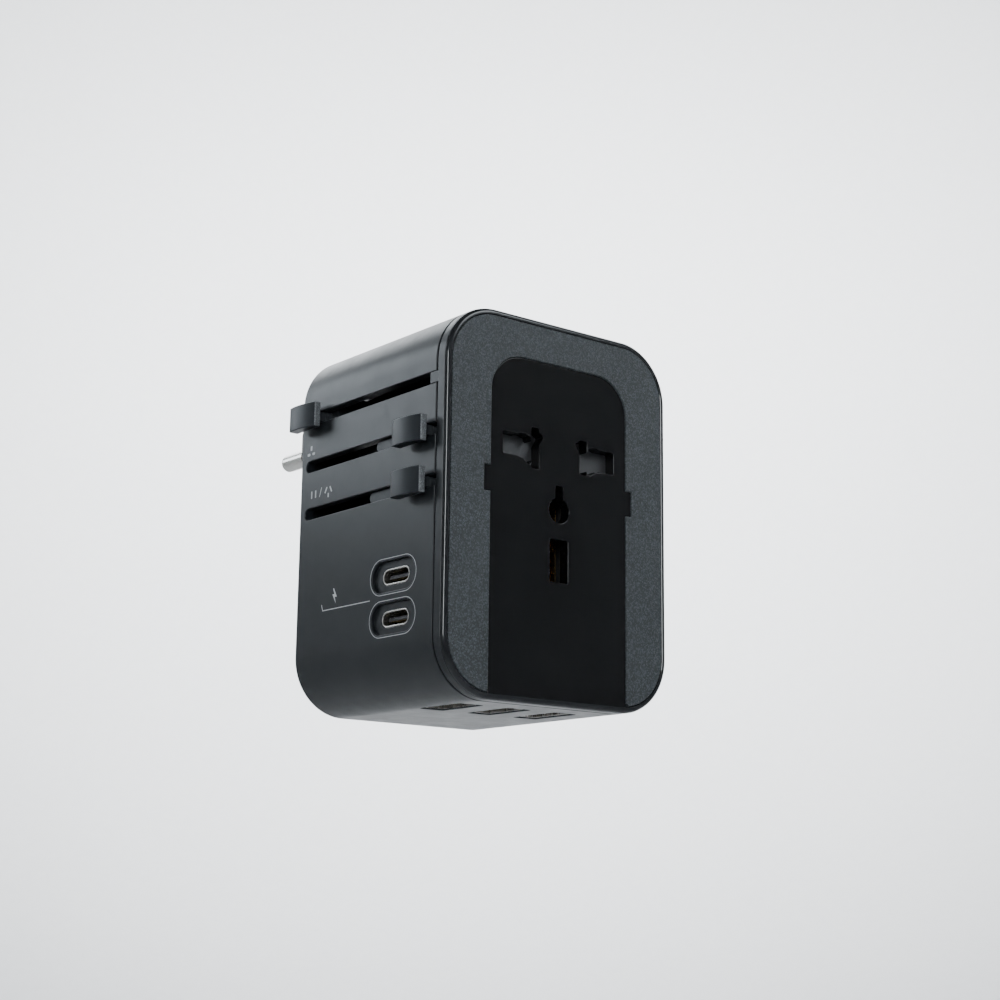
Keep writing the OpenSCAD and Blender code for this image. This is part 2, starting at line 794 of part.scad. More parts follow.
// Rotor that lets one blade twist, with a slot for the blade's root.
module blade_rotor(s) {
    y0 = us_block_y0 + 0.1;
    y1 = us_block_y1;
    x = s * us_blade_pitch / 2;
    color("#1b1d1f") difference() {
        union() {
            rod_y(x, us_z, rotor_disk_r, y0, y1 - rotor_lip_t - 0.1);
            rod_y(x, us_z, rotor_neck_r, y1 - rotor_lip_t - 0.1 - eps, y1);
        }
        block([x - blade_t / 2, y0 + 0.8, us_z - blade_w / 2 + 1], [x + blade_t / 2, y1 + 1, us_z + blade_w / 2 - 1]);
    }
}

// Flat blade with a round-cornered tip and a narrower root.
module blade(s) {
    x = s * us_blade_pitch / 2;
    tip_r = 2;
    color("gainsboro") along_x(x - blade_t / 2, x + blade_t / 2) translate([0, us_z]) {
        translate([us_block_y0 + 0.9, 1 - blade_w / 2]) square([5, blade_w - 2]);
        translate([us_block_y1, -blade_w / 2]) square([blade_tip_y - tip_r - us_block_y1, blade_w]);
        translate([blade_tip_y - tip_r - eps, tip_r - blade_w / 2]) square([tip_r + eps, blade_w - 2 * tip_r]);
        for (k = [-1, 1]) {
            translate([blade_tip_y - tip_r, k * (blade_w / 2 - tip_r)]) circle(tip_r);
        }
    }
}

module blade_rotor_live() {
    blade_rotor(1);
}

module blade_live() {
    blade(1);
}

module blade_rotor_neutral() {
    blade_rotor(-1);
}

module blade_neutral() {
    blade(-1);
}

// Main board of the charger.
module main_pcb() {
    color("darkgreen") block([-pcb_half_w, pcb_y0, pcb_z0], [pcb_half_w, pcb_y1, pcb_z1]);
}

// Upright board that carries the two USB-C ports.
module usb_c_board() {
    color("darkgreen") block([c_board_x0, -44.5, pcb_z1], [c_board_x0 + c_board_t, -26, -9.5]);
}

// Metal shell of one USB-C port.
module usb_c_shell(i) {
    z = usb_c_z0 - i * usb_c_pitch;
    color("silver") difference() {
        along_x(usb_c_mouth_x, c_board_x0) {
            translate([usb_c_y, z]) round_rect(usb_c_w, usb_c_t, usb_c_t / 2 - eps);
        }
        along_x(usb_c_mouth_x - 1, c_board_x0 - 1) translate([usb_c_y, z]) {
            round_rect(usb_c_w - 2 * usb_c_sheet, usb_c_t - 2 * usb_c_sheet, usb_c_t / 2 - usb_c_sheet - eps);
        }
    }
}

// Tongue inside one USB-C port.
module usb_c_tongue(i) {
    z = usb_c_z0 - i * usb_c_pitch;
    color("#1b1d1f") along_x(usb_c_mouth_x + 0.9, c_board_x0 - 1) {
        translate([usb_c_y, z]) square([6.7, 0.7], center = true);
    }
}

module usb_c_shell_upper() {
    usb_c_shell(0);
}

module usb_c_shell_lower() {
    usb_c_shell(1);
}

module usb_c_tongue_upper() {
    usb_c_tongue(0);
}

module usb_c_tongue_lower() {
    usb_c_tongue(1);
}

// Metal shell of one USB-A port, standing on the board with its mouth down.
module usb_a_shell(i) {
    x = usb_a_x0 + i * usb_a_pitch;
    color("silver") difference() {
        along_z(usb_a_mouth_z, pcb_z0) translate([x, usb_a_y]) round_rect(usb_a_t, usb_a_w, 0.5);
        along_z(usb_a_mouth_z - 1, pcb_z0 - 1) {
            translate([x, usb_a_y]) square([usb_a_t - 2 * usb_a_sheet, usb_a_w - 2 * usb_a_sheet], center = true);
        }
    }
}

// Tongue inside one USB-A port, nearer its left wall.
module usb_a_tongue(i) {
    x = usb_a_x0 + i * usb_a_pitch - usb_a_t / 2 + usb_a_sheet + 0.7;
    color("#1b1d1f") block([x, usb_a_y - 5.6, usb_a_mouth_z + 2.4], [x + 1.8, usb_a_y + 5.6, pcb_z0 - 1]);
}

module usb_a_shell_1() {
    usb_a_shell(0);
}

module usb_a_shell_2() {
    usb_a_shell(1);
}

module usb_a_shell_3() {
    usb_a_shell(2);
}

module usb_a_tongue_1() {
    usb_a_tongue(0);
}

module usb_a_tongue_2() {
    usb_a_tongue(1);
}

module usb_a_tongue_3() {
    usb_a_tongue(2);
}

// Transformer: ferrite core around its winding.
module transformer_core() {
    color("#3b3b3d") difference() {
        block([1, -29, pcb_z1], [17, -15, pcb_z1 + 7.6]);
        block([3, -30, pcb_z1 + 1.6], [7, -14, pcb_z1 + 6]);
        block([11, -30, pcb_z1 + 1.6], [15, -14, pcb_z1 + 6]);
    }
}

module transformer_winding() {
    color("khaki") for (x = [3.1, 11.1]) {
        block([x, -30.5, pcb_z1 + 1.7], [x + 3.8, -13.5, pcb_z1 + 5.9]);
    }
}

// Two electrolytic capacitors lying under the board.
module bulk_capacitors() {
    color("#23262b") for (x = [-8, 4]) {
        rod_y(x, pcb_z0 - 5.1, 5, -26, -8);
    }
}

// Ring choke of the mains filter, lying on the board.
module emi_choke() {
    color("#5b3a22") translate([-9.5, -17, pcb_z1 + 2]) rotate_extrude() translate([3.9, 0]) circle(2, $fn = 32);
}

// Ceramic fuse between two clips.
module fuse_body() {
    color("white") rod_y(21, pcb_z1 + 4, 2.5, -31, -12);
}

module fuse_clips() {
    color("silver") for (y = [-30, -15]) {
        difference() {
            block([17.9, y, pcb_z1], [24.1, y + 2, pcb_z1 + 5.6]);
            rod_y(21, pcb_z1 + 4, 2.5, y - 1, y + 3);
            block([19.4, y - 1, pcb_z1 + 4], [22.6, y + 3, pcb_z1 + 6]);
        }
    }
}

// Flat bridge rectifier on the board.
module bridge_rectifier() {
    color("#202224") block([-4.5, -13, pcb_z1], [2, -6, pcb_z1 + 2.6]);
}

// Charger control chips on the board.
module charger_chips() {
    color("#202224") {
        block([-15, -11, pcb_z1], [-10, -6, pcb_z1 + 1]);
        block([4, -11, pcb_z1], [9, -6, pcb_z1 + 1]);
        block([-12, -40, pcb_z1], [-6, -34, pcb_z1 + 1]);
    }
}

main_shell();
front_cover();
socket_panel();
case_screws();
chassis();
contact_live();
contact_neutral();
contact_earth();
live_bus();
neutral_bus();
earth_bus();
socket_shutter();
shutter_spring();
detent_springs();
eu_knob();
eu_carriage();
eu_pin_live();
eu_pin_neutral();
eu_pin_sleeves();
uk_knob();
uk_carriage();
uk_pin_live();
uk_pin_neutral();
uk_pin_earth();
uk_pin_sleeves();
us_aus_knob();
us_aus_carriage();
us_aus_backplate();
blade_rotor_live();
blade_live();
blade_rotor_neutral();
blade_neutral();
main_pcb();
usb_c_board();
usb_c_shell_upper();
usb_c_shell_lower();
usb_c_tongue_upper();
usb_c_tongue_lower();
usb_a_shell_1();
usb_a_shell_2();
usb_a_shell_3();
usb_a_tongue_1();
usb_a_tongue_2();
usb_a_tongue_3();
transformer_core();
transformer_winding();
bulk_capacitors();
emi_choke();
fuse_body();
fuse_clips();
bridge_rectifier();
charger_chips();
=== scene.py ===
"""Looks of the universal travel adapter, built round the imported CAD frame. Shapes are drawn in millimetres."""

import math

import bmesh
import bpy
from mathutils import Matrix, Vector


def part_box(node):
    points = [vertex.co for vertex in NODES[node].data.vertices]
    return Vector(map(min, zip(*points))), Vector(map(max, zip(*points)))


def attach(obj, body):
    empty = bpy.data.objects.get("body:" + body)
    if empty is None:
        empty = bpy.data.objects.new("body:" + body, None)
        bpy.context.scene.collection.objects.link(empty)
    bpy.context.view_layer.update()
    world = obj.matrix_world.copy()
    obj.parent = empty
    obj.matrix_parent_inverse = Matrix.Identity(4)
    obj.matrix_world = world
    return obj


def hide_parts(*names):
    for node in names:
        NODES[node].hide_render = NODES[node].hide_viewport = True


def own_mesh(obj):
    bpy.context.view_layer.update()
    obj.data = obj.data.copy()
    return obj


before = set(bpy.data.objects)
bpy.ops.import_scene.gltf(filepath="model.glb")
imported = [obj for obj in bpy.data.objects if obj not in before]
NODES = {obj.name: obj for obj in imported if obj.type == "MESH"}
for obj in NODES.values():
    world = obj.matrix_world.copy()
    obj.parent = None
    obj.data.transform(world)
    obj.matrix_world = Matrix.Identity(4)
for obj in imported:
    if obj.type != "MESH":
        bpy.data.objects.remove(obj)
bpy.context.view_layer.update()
MM = 0.001

# Sizes that repeat part.scad. Lengths are in millimetres and angles in degrees, except for the lights and the camera.
HALF_W, HALF_H, CORNER_R = 29.0, 39.0, 12.0
WALL, REAR_WALL = 2.0, 2.2
SEAM_Y, BAND_Y, FACE_Y = -48.55, -50.95, -51.8
SLOT_Z = (23.5, 13.2, 2.9)
SLOT_R, SLOT_REAR = 1.2, -2.55
SOCKET_Z = 12.2
EU_Z, UK_Z, UK_EARTH_Z, US_Z = 24.2, 13.2, -9.0, 2.9
UK_PIN_X, BLADE_X = 11.1, 6.5
SCREW_X, SCREW_Z = 22, 32
USB_C_Y, USB_C_Z = -35.3, (-14.2, -22.6)
USB_A_X, USB_A_Y = (-14.5, -2.5, 9.5), -35.9

# Width, height and corner radius of each opening
USB_C_RECESS, USB_C_MOUTH, USB_A_MOUTH = (14.4, 6.2, 3.09), (9.14, 3.46, 1.72), (5.9, 13.3, 0.6)
EU_WELL, UK_MOUTH, UK_EARTH_MOUTH = (35.9, 14.3, 5.8), (6.9, 4.6, 0.3), (4.6, 8.6, 0.3)
BLADE_MOUTH, SCREW_WELL = (2.2, 6.8, 0.2), (5.8, 5.8, 2.89)
USB_C_RECESS_DEPTH, SCREW_WELL_DEPTH = 0.8, 1.5

# Faces that meet at more than this many degrees keep a sharp edge between them
SHARP_ANGLE = 34

# Knob node, body, and the knob's middle in Y and Z
KNOBS = (
    ("eu_knob", "eu_drawer", -4.8, 23.5),
    ("uk_knob", "uk_drawer", -42.8, 13.2),
    ("us_aus_knob", "us_aus_drawer", -42.6, 2.9),
)


# ---------------------------------------------------------------- profiles and lofts


def arc(cx, cy, r, a0, a1, n):
    """Points of an arc, both ends included, angles in degrees."""
    steps = [math.radians(a0 + (a1 - a0) * i / n) for i in range(n + 1)]
    return [(cx + r * math.cos(a), cy + r * math.sin(a)) for a in steps]


def round_rect(w, h, r, seg=6, cx=0.0, cy=0.0):
    """Outline of a rectangle with rounded corners."""
    x, y = w / 2 - r, h / 2 - r
    return (
        arc(cx + x, cy + y, r, 0, 90, seg)
        + arc(cx - x, cy + y, r, 90, 180, seg)
        + arc(cx - x, cy - y, r, 180, 270, seg)
        + arc(cx + x, cy - y, r, 270, 360, seg)
    )


def turned(points, degrees, cx, cy):
    """Points turned about the origin, then moved to the centre."""
    a = math.radians(degrees)
    return [
        (cx + x * math.cos(a) - y * math.sin(a), cy + x * math.sin(a) + y * math.cos(a))
        for x, y in points
    ]


def on_x(x):
    """Places a profile drawn in Y and Z."""
    return lambda p: (x, p[0], p[1])


def on_y(y):
    """Places a profile drawn in X and Z."""
    return lambda p: (p[0], y, p[1])


def on_z(z):
    """Places a profile drawn in X and Y."""
    return lambda p: (p[0], p[1], z)


def make_object(name, verts, faces):
    """Linked object with a clean mesh."""
    mesh = bpy.data.meshes.new(name)
    mesh.from_pydata(verts, [], faces)
    clean(mesh)
    made = bpy.data.objects.new(name, mesh)
    bpy.context.scene.collection.objects.link(made)
    return made


def clean(mesh):
    """Joins doubled points, drops edges of no length and turns every face outwards."""
    bm = bmesh.new()
    bm.from_mesh(mesh)
    bmesh.ops.remove_doubles(bm, verts=bm.verts, dist=1e-4)
    bmesh.ops.dissolve_degenerate(bm, edges=bm.edges, dist=1e-5)
    bmesh.ops.recalc_face_normals(bm, faces=bm.faces)
    bm.to_mesh(mesh)
    bm.free()


def loft(name, rings, closed=False):
    """Skin through rings of the same number of points: capped at both ends, or closed on itself."""
    n, m = len(rings[0]), len(rings)
    verts = [p for ring in rings for p in ring]
    faces = []
    for i in range(m if closed else m - 1):
        a, b = i * n, (i + 1) % m * n
        faces += [(a + k, a + (k + 1) % n, b + (k + 1) % n, b + k) for k in range(n)]
    if not closed:
        faces += [tuple(reversed(range(n))), tuple((m - 1) * n + k for k in range(n))]
    return make_object(name, verts, faces)


def skin(name, plane, profile, steps, closed=False):
    """Loft through (grow, position) steps of a profile that can grow."""
    return loft(name, [[plane(at)(p) for p in profile(g)] for g, at in steps], closed)


def quarter(r, n=4):
    """(along, down) points of a rounded edge of radius r, from the top face to the side."""
    steps = [math.pi / 2 * i / n for i in range(n + 1)]
    return [(r * (1 - math.sin(a)), r * (1 - math.cos(a))) for a in steps]


def cutter(plane, level, inward, profile, depth, r=0.2):
    """Cutting tool whose mouth leaves an edge of radius r on the surface at that level."""
    proud = 0.6
    steps = [(r, level - inward * proud)]
    steps += [(g, level + inward * d) for g, d in quarter(r)]
    steps.append((0, level + inward * depth))
    return skin("cutter", plane, profile, steps)


def evaluated(target):
    """Applies the object's modifiers to its mesh."""
    bpy.context.view_layer.update()
    graph = bpy.context.evaluated_depsgraph_get()
    mesh = bpy.data.meshes.new_from_object(target.evaluated_get(graph))
    target.modifiers.clear()
    old, target.data = target.data, mesh
    bpy.data.meshes.remove(old)


def combine(target, tools, operation="DIFFERENCE"):
    """Cuts the tools from the target, or adds them to it."""
    for tool in tools:
        change = target.modifiers.new("combine", "BOOLEAN")
        change.operation = operation
        change.solver = "EXACT"
        change.object = tool
        evaluated(target)
        bpy.data.objects.remove(tool)
    clean(target.data)
    return target


def add_bevel(ob, width, segments=2, angle=40):
    """Rounds the edges that are sharper than the angle."""
    change = ob.modifiers.new("bevel", "BEVEL")
    change.width = width
    change.segments = segments
    change.limit_method = "ANGLE"
    change.angle_limit = math.radians(angle)
    change.miter_outer = "MITER_ARC"
    return change


def add_normals(ob):
    """Shades flat faces flat and lets the narrow edges between them take the bend."""
    change = ob.modifiers.new("normals", "WEIGHTED_NORMAL")
    change.keep_sharp = True
    change.weight = 90


def box(name, a, b, bevel=0.1):
    """Box with rounded edges between two corners."""
    (x0, y0, z0), (x1, y1, z1) = a, b
    verts = [(x, y, z) for x in (x0, x1) for y in (y0, y1) for z in (z0, z1)]
    faces = [(0, 1, 3, 2), (4, 6, 7, 5), (0, 4, 5, 1), (2, 3, 7, 6), (0, 2, 6, 4), (1, 5, 7, 3)]
    made = make_object(name, verts, faces)
    if bevel:
        add_bevel(made, bevel)
        evaluated(made)
    return made


def join(name, parts):
    """One object from several closed meshes that don't touch."""
    bm = bmesh.new()
    for part in parts:
        bm.from_mesh(part.data)
        bpy.data.objects.remove(part)
    mesh = bpy.data.meshes.new(name)
    bm.to_mesh(mesh)
    bm.free()
    made = bpy.data.objects.new(name, mesh)
    bpy.context.scene.collection.objects.link(made)
    return made


def place(ob, name, material, body, nodes=()):
    """Scales a finished mesh to metres, shades it and hangs it on its CAD body."""
    ob.name = ob.data.name = name
    ob.data.transform(Matrix.Scale(MM, 4))
    bm = bmesh.new()
    bm.from_mesh(ob.data)
    for face in bm.faces:
        face.smooth = True
    for edge in bm.edges:
        edge.smooth = edge.calc_face_angle(0) < math.radians(SHARP_ANGLE)
    bm.to_mesh(ob.data)
    bm.free()
    add_normals(ob)
    ob.data.materials.clear()
    ob.data.materials.append(material)
    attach(ob, body)
    if nodes:
        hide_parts(*nodes)
    return ob


# ---------------------------------------------------------------- materials


BROAD_SCALE, PATCH_SCALE = 70, 240
# Range of pit values that get painted glints
PAINTED_GLINT_RANGE = (0.5, 0.85)


def new_material(name):
    """Material with its node tree and its shader."""
    material = bpy.data.materials.new(name)
    material.use_nodes = True
    tree = material.node_tree
    return material, tree, tree.nodes["Principled BSDF"]


def noise(tree, source, scale, detail, rough=0.55):
    """Noise between 0 and 1, in cells per metre."""
    node = tree.nodes.new("ShaderNodeTexNoise")
    node.inputs["Scale"].default_value = scale
    node.inputs["Detail"].default_value = detail
    node.inputs["Roughness"].default_value = rough
    tree.links.new(source, node.inputs["Vector"])
    return node.outputs["Fac"]


def craters(tree, source, scale):
    """Small pits side by side, as spark erosion leaves them: their depth, and a value for each pit."""
    node = tree.nodes.new("ShaderNodeTexVoronoi")
    node.inputs["Scale"].default_value = scale
    tree.links.new(source, node.inputs["Vector"])
    return node.outputs["Distance"], node.outputs["Color"]


def remap(tree, value, low, high, lo_in=0.3, hi_in=0.7):
    """Stretches the middle of a noise, or another range, to low and high."""
    node = tree.nodes.new("ShaderNodeMapRange")
    node.inputs["From Min"].default_value = lo_in
    node.inputs["From Max"].default_value = hi_in
    node.inputs["To Min"].default_value = low
    node.inputs["To Max"].default_value = high
    tree.links.new(value, node.inputs["Value"])
    return node.outputs["Result"]


def blend_colours(tree, factor, a, b):
    """Mixes two colours, the first of which may be another node's output."""
    node = tree.nodes.new("ShaderNodeMix")
    node.data_type = "RGBA"
    if isinstance(a, tuple):
        node.inputs["A"].default_value = (*a, 1)
    else:
        tree.links.new(a, node.inputs["A"])
    node.inputs["B"].default_value = (*b, 1)
    tree.links.new(factor, node.inputs["Factor"])
    return node.outputs["Result"]


def scaled_colour(colour, share):
    return tuple(min(1.0, c * share) for c in colour)


def object_coords(tree, stretch):
    """The object's own coordinates, in metres."""
    coords = tree.nodes.new("ShaderNodeTexCoord")
    mapping = tree.nodes.new("ShaderNodeMapping")
    mapping.inputs["Scale"].default_value = stretch
    tree.links.new(coords.outputs["Object"], mapping.inputs["Vector"])
    return mapping.outputs["Vector"]


def surface(name, colour, rough, grain=2500, relief=0.02, vary=0.08, smudge=0.04, metallic=0.0,
            specular=0.5, stretch=(1, 1, 1), painted_glint=0.0, sparks=False):
    """Moulded or drawn surface: broad tone drift, fine grain in colour and relief, uneven gloss.
    Grain is in cells per metre and relief in millimetres. With sparks the grain is pitted, and a glint share paints
    lighter pits: painted glints standing in for the sparkle of highlights."""
    material, tree, shader = new_material(name)
    vector = object_coords(tree, stretch)
    broad = noise(tree, vector, BROAD_SCALE, 2)
    fine, pit = craters(tree, vector, grain) if sparks else (noise(tree, vector, grain, 4), None)
    dark, light = scaled_colour(colour, 1 - vary), scaled_colour(colour, 1 + vary)
    tone = blend_colours(tree, remap(tree, broad, 0, 1), dark, light)
    # Painted glints: a lighter colour in the pits, standing in for the sparkle of highlights on the eroded grain.
    if painted_glint:
        glint = remap(tree, pit, 0, 1, *PAINTED_GLINT_RANGE)
        tone = blend_colours(tree, glint, tone, scaled_colour(colour, 1 + painted_glint))
    tree.links.new(tone, shader.inputs["Base Color"])
    patchy = noise(tree, vector, PATCH_SCALE, 5, 0.7)
    tree.links.new(remap(tree, patchy, rough - smudge, rough + smudge), shader.inputs["Roughness"])
    bump = tree.nodes.new("ShaderNodeBump")
    bump.inputs["Strength"].default_value = 1.0
    bump.inputs["Distance"].default_value = relief * MM
    tree.links.new(fine, bump.inputs["Height"])
    tree.links.new(bump.outputs["Normal"], shader.inputs["Normal"])
    shader.inputs["Metallic"].default_value = metallic
    shader.inputs["Specular IOR Level"].default_value = specular
    return material


SHELL = surface("shell_satin", (0.0105, 0.0122, 0.0142), 0.34, grain=3200, relief=0.006, vary=0.06, specular=0.36)
BAND = surface("band_satin", (0.0105, 0.0122, 0.0142), 0.33, grain=2600, relief=0.003, vary=0.06, specular=0.3)
FRAME_GLOSS = surface("bevel_gloss", (0.007, 0.008, 0.0095), 0.13,
                      grain=1800, relief=0.0003, vary=0.08, smudge=0.02, specular=0.4)
# The face's pits get painted glints on top of the eroded texture.
FACE = surface("cover_spark_eroded_painted_glints", (0.021, 0.0245, 0.027), 0.44,
               grain=4000, relief=0.08, vary=0.1, painted_glint=1.7, specular=0.42, sparks=True)
# Socket panel: near-black partly as its own black and partly as painted shade, darker and duller than a lit glossy
# black would be.
PANEL = surface("panel_gloss", (0.002, 0.002, 0.0025), 0.12,
                grain=1500, relief=0.001, vary=0.15, smudge=0.03, specular=0.25)
KNOB = surface("knob_satin", (0.011, 0.0132, 0.0162), 0.35, grain=3800, relief=0.006, vary=0.06, specular=0.28)
# Front ends of the knobs: eroded texture, and a base colour far lighter than the knob's dark plastic, a painted
# highlight standing in for the reflection of a bright thing in front. The pits also get painted glints.
KNOB_END_PAINTED_LIGHT = surface("knob_end_painted_light", (0.085, 0.09, 0.095), 0.5,
                   grain=4000, relief=0.06, vary=0.1, painted_glint=0.9, specular=0.5, sparks=True)
CARRIAGE = surface("carriage_satin", (0.024, 0.027, 0.03), 0.42, grain=3000, relief=0.01, vary=0.06, specular=0.35)
INNER = surface("inner_black", (0.01, 0.01, 0.011), 0.55, grain=2200, relief=0.015, vary=0.1)
SHUTTER = surface("shutter_black", (0.03, 0.031, 0.033), 0.45, grain=2600, relief=0.01, vary=0.08)
PIN = surface("nickel_drawn", (0.74, 0.72, 0.68), 0.22,
              grain=2600, relief=0.003, vary=0.05, smudge=0.06, metallic=1.0, stretch=(1, 0.06, 1))
SLEEVE = surface("sleeve_black", (0.016, 0.016, 0.018), 0.38, grain=3000, relief=0.006, vary=0.1)
BRASS = surface("contact_brass", (0.78, 0.56, 0.26), 0.28,
                grain=1800, relief=0.004, vary=0.1, smudge=0.08, metallic=1.0)
COPPER = surface("bus_copper", (0.74, 0.42, 0.27), 0.32,
                 grain=1800, relief=0.004, vary=0.12, smudge=0.08, metallic=1.0)
ZINC = surface("screw_zinc", (0.5, 0.5, 0.49), 0.34, grain=2400, relief=0.006, vary=0.1, smudge=0.08, metallic=1.0)
SPRING = surface("spring_steel", (0.6, 0.6, 0.6), 0.3, grain=2400, relief=0.004, vary=0.08, metallic=1.0)
PORT = surface("port_steel", (0.66, 0.64, 0.6), 0.27,
               grain=1600, relief=0.004, vary=0.08, smudge=0.07, metallic=1.0, stretch=(1, 1, 0.2))
TONGUE = surface("tongue_black", (0.014, 0.014, 0.016), 0.42, grain=3000, relief=0.008, vary=0.1)
GOLD = surface("contact_gold", (0.85, 0.62, 0.26), 0.24, grain=1800, relief=0.003, vary=0.08, metallic=1.0)
BOARD = surface("solder_mask", (0.02, 0.14, 0.06), 0.34, grain=900, relief=0.01, vary=0.15)
FERRITE = surface("ferrite", (0.05, 0.05, 0.055), 0.6, grain=1500, relief=0.03, vary=0.12)
TAPE = surface("wound_tape", (0.78, 0.6, 0.12), 0.4, grain=800, relief=0.01, vary=0.08)
CAN = surface("capacitor_sleeve", (0.025, 0.03, 0.045), 0.3, grain=1200, relief=0.004, vary=0.1)
WIRE = surface("enamelled_wire", (0.5, 0.2, 0.08), 0.3, grain=900, relief=0.03, vary=0.15, metallic=0.8)
CERAMIC = surface("glazed_ceramic", (0.84, 0.83, 0.78), 0.2, grain=900, relief=0.004, vary=0.04)
CHIP = surface("chip_epoxy", (0.025, 0.025, 0.027), 0.6, grain=2600, relief=0.015, vary=0.1)
PRINT = surface("pad_print", (0.44, 0.45, 0.46), 0.55, grain=3500, relief=0.004, vary=0.12, smudge=0.06)

NODE_MATERIALS = {
    SHELL: ["main_shell"],
    FRAME_GLOSS: ["front_cover"],
    PANEL: ["socket_panel"],
    KNOB: ["eu_knob", "uk_knob", "us_aus_knob"],
    CARRIAGE: ["eu_carriage", "uk_carriage", "us_aus_carriage"],
    PIN: ["eu_pin_live", "eu_pin_neutral", "uk_pin_live", "uk_pin_neutral", "uk_pin_earth",
          "blade_live", "blade_neutral"],
    SLEEVE: ["eu_pin_sleeves", "uk_pin_sleeves", "blade_rotor_live", "blade_rotor_neutral"],
    ZINC: ["case_screws"],
    INNER: ["chassis"],
    SHUTTER: ["socket_shutter"],
    SPRING: ["shutter_spring", "detent_springs"],
    BRASS: ["contact_live", "contact_neutral", "contact_earth"],
    COPPER: ["live_bus", "neutral_bus", "earth_bus"],
    PORT: ["usb_c_shell_upper", "usb_c_shell_lower", "usb_a_shell_1", "usb_a_shell_2", "usb_a_shell_3",
           "fuse_clips"],
    TONGUE: ["usb_c_tongue_upper", "usb_c_tongue_lower", "usb_a_tongue_1", "usb_a_tongue_2", "usb_a_tongue_3"],
    BOARD: ["main_pcb", "usb_c_board"],
    CHIP: ["us_aus_backplate", "bridge_rectifier", "charger_chips"],
    FERRITE: ["transformer_core"],
    TAPE: ["transformer_winding"],
    CAN: ["bulk_capacitors"],
    WIRE: ["emi_choke"],
    CERAMIC: ["fuse_body"],
}
for material, names in NODE_MATERIALS.items():
    for node in names:
        NODES[node].data.materials.clear()
        NODES[node].data.materials.append(material)


def round_cad_edges(node, width):
    """Welds a CAD node's mesh, joins its flat faces and rounds its edges, all by modifiers."""
    ob = NODES[node]
    weld = ob.modifiers.new("weld", "WELD")
    weld.merge_threshold = 1e-6
    flat = ob.modifiers.new("flat", "DECIMATE")
    flat.decimate_type = "DISSOLVE"
    flat.angle_limit = math.radians(0.5)
    add_bevel(ob, width * MM, 2, 30)
    add_normals(ob)


EDGE_WIDTHS = {
    0.35: ["eu_carriage"],
    0.2: ["uk_carriage", "us_aus_carriage"],
    0.15: ["socket_shutter", "uk_pin_live", "uk_pin_neutral", "uk_pin_earth", "blade_live", "blade_neutral"],
    0.12: ["usb_a_tongue_1", "usb_a_tongue_2", "usb_a_tongue_3"],
    0.08: ["case_screws", "usb_a_shell_1", "usb_a_shell_2", "usb_a_shell_3",
           "usb_c_tongue_upper", "usb_c_tongue_lower"],
    0.06: ["usb_c_shell_upper", "usb_c_shell_lower"],
}
for edge_width, names in EDGE_WIDTHS.items():
    for node in names:
        round_cad_edges(node, edge_width)


# ---------------------------------------------------------------- shell


def outer(g):
    """Outline of the case, grown by g."""
    return round_rect(2 * (HALF_W + g), 2 * (HALF_H + g), CORNER_R + g, 22)


def cup():
    """Shell open at the front, with a rounded rear edge, before its openings are cut."""
    front = SEAM_Y + 0.2
    rim_r, rear_r = 0.18, 1.2
    steps = [(-WALL, -REAR_WALL), (-WALL, front), (-rim_r, front)]
    steps += [(-g, front + d) for g, d in quarter(rim_r, 3)][1:]
    steps += [(-rear_r * (1 - math.cos(a)), -rear_r * (1 - math.sin(a))) for a in [math.pi / 16 * i for i in range(9)]]
    return skin("shell", on_y, outer, steps)


def slot_profile(z):
    """Slot that is round at its rear and runs out past the seam."""
    def profile(g):
        r = SLOT_R + g
        rear = SLOT_REAR - SLOT_R
        return [(-51.0, z - r)] + arc(rear, z, r, -90, 90, 14) + [(-51.0, z + r)]
    return profile


def grown(w, h, r, cx, cy, seg=6):
    """Rounded rectangle that can grow."""
    return lambda g: round_rect(w + 2 * g, h + 2 * g, r + g, seg, cx, cy)


def turned_rect(w, h, r, angle, cx, cy):
    """Rounded rectangle that can grow, turned about its middle."""
    return lambda g: turned(round_rect(w + 2 * g, h + 2 * g, r + g, 3), angle, cx, cy)


def side_tools():
    """Slots for the sliders and recesses for the USB-C ports, cut from the left."""
    tools = [cutter(on_x, -HALF_W, 1, slot_profile(z), WALL + 1) for z in SLOT_Z]
    for z in USB_C_Z:
        recess, mouth = grown(*USB_C_RECESS, USB_C_Y, z, 12), grown(*USB_C_MOUTH, USB_C_Y, z, 10)
        tools.append(cutter(on_x, -HALF_W, 1, recess, USB_C_RECESS_DEPTH, 0.22))
        tools.append(cutter(on_x, -HALF_W + USB_C_RECESS_DEPTH, 1, mouth, WALL, 0.08))
    return tools


def bottom_tools():
    """Mouths of the USB-A ports."""
    return [cutter(on_z, -HALF_H, 1, grown(*USB_A_MOUTH, x, USB_A_Y, 4), WALL + 1, 0.25) for x in USB_A_X]


def rear_tools():
    """Openings for the three plugs and wells for the screws. A blade's opening is fanned out by its twist."""
    through, fan_step = REAR_WALL + 1, 7.5
    tools = [cutter(on_y, 0, -1, grown(*EU_WELL, 0, EU_Z, 12), through, 0.25)]
    for s in (-1, 1):
        tools.append(cutter(on_y, 0, -1, grown(*UK_MOUTH, UK_PIN_X * s, UK_Z, 3), through))
        for turn in range(5):
            blade = turned_rect(*BLADE_MOUTH, s * turn * fan_step, BLADE_X * s, US_Z)
            tools.append(cutter(on_y, 0, -1, blade, through, 0.12))
        for t in (-1, 1):
            well = grown(*SCREW_WELL, SCREW_X * s, SCREW_Z * t, 8)
            tools.append(cutter(on_y, 0, -1, well, SCREW_WELL_DEPTH))
    tools.append(cutter(on_y, 0, -1, grown(*UK_EARTH_MOUTH, 0, UK_EARTH_Z, 3), through))
    return tools


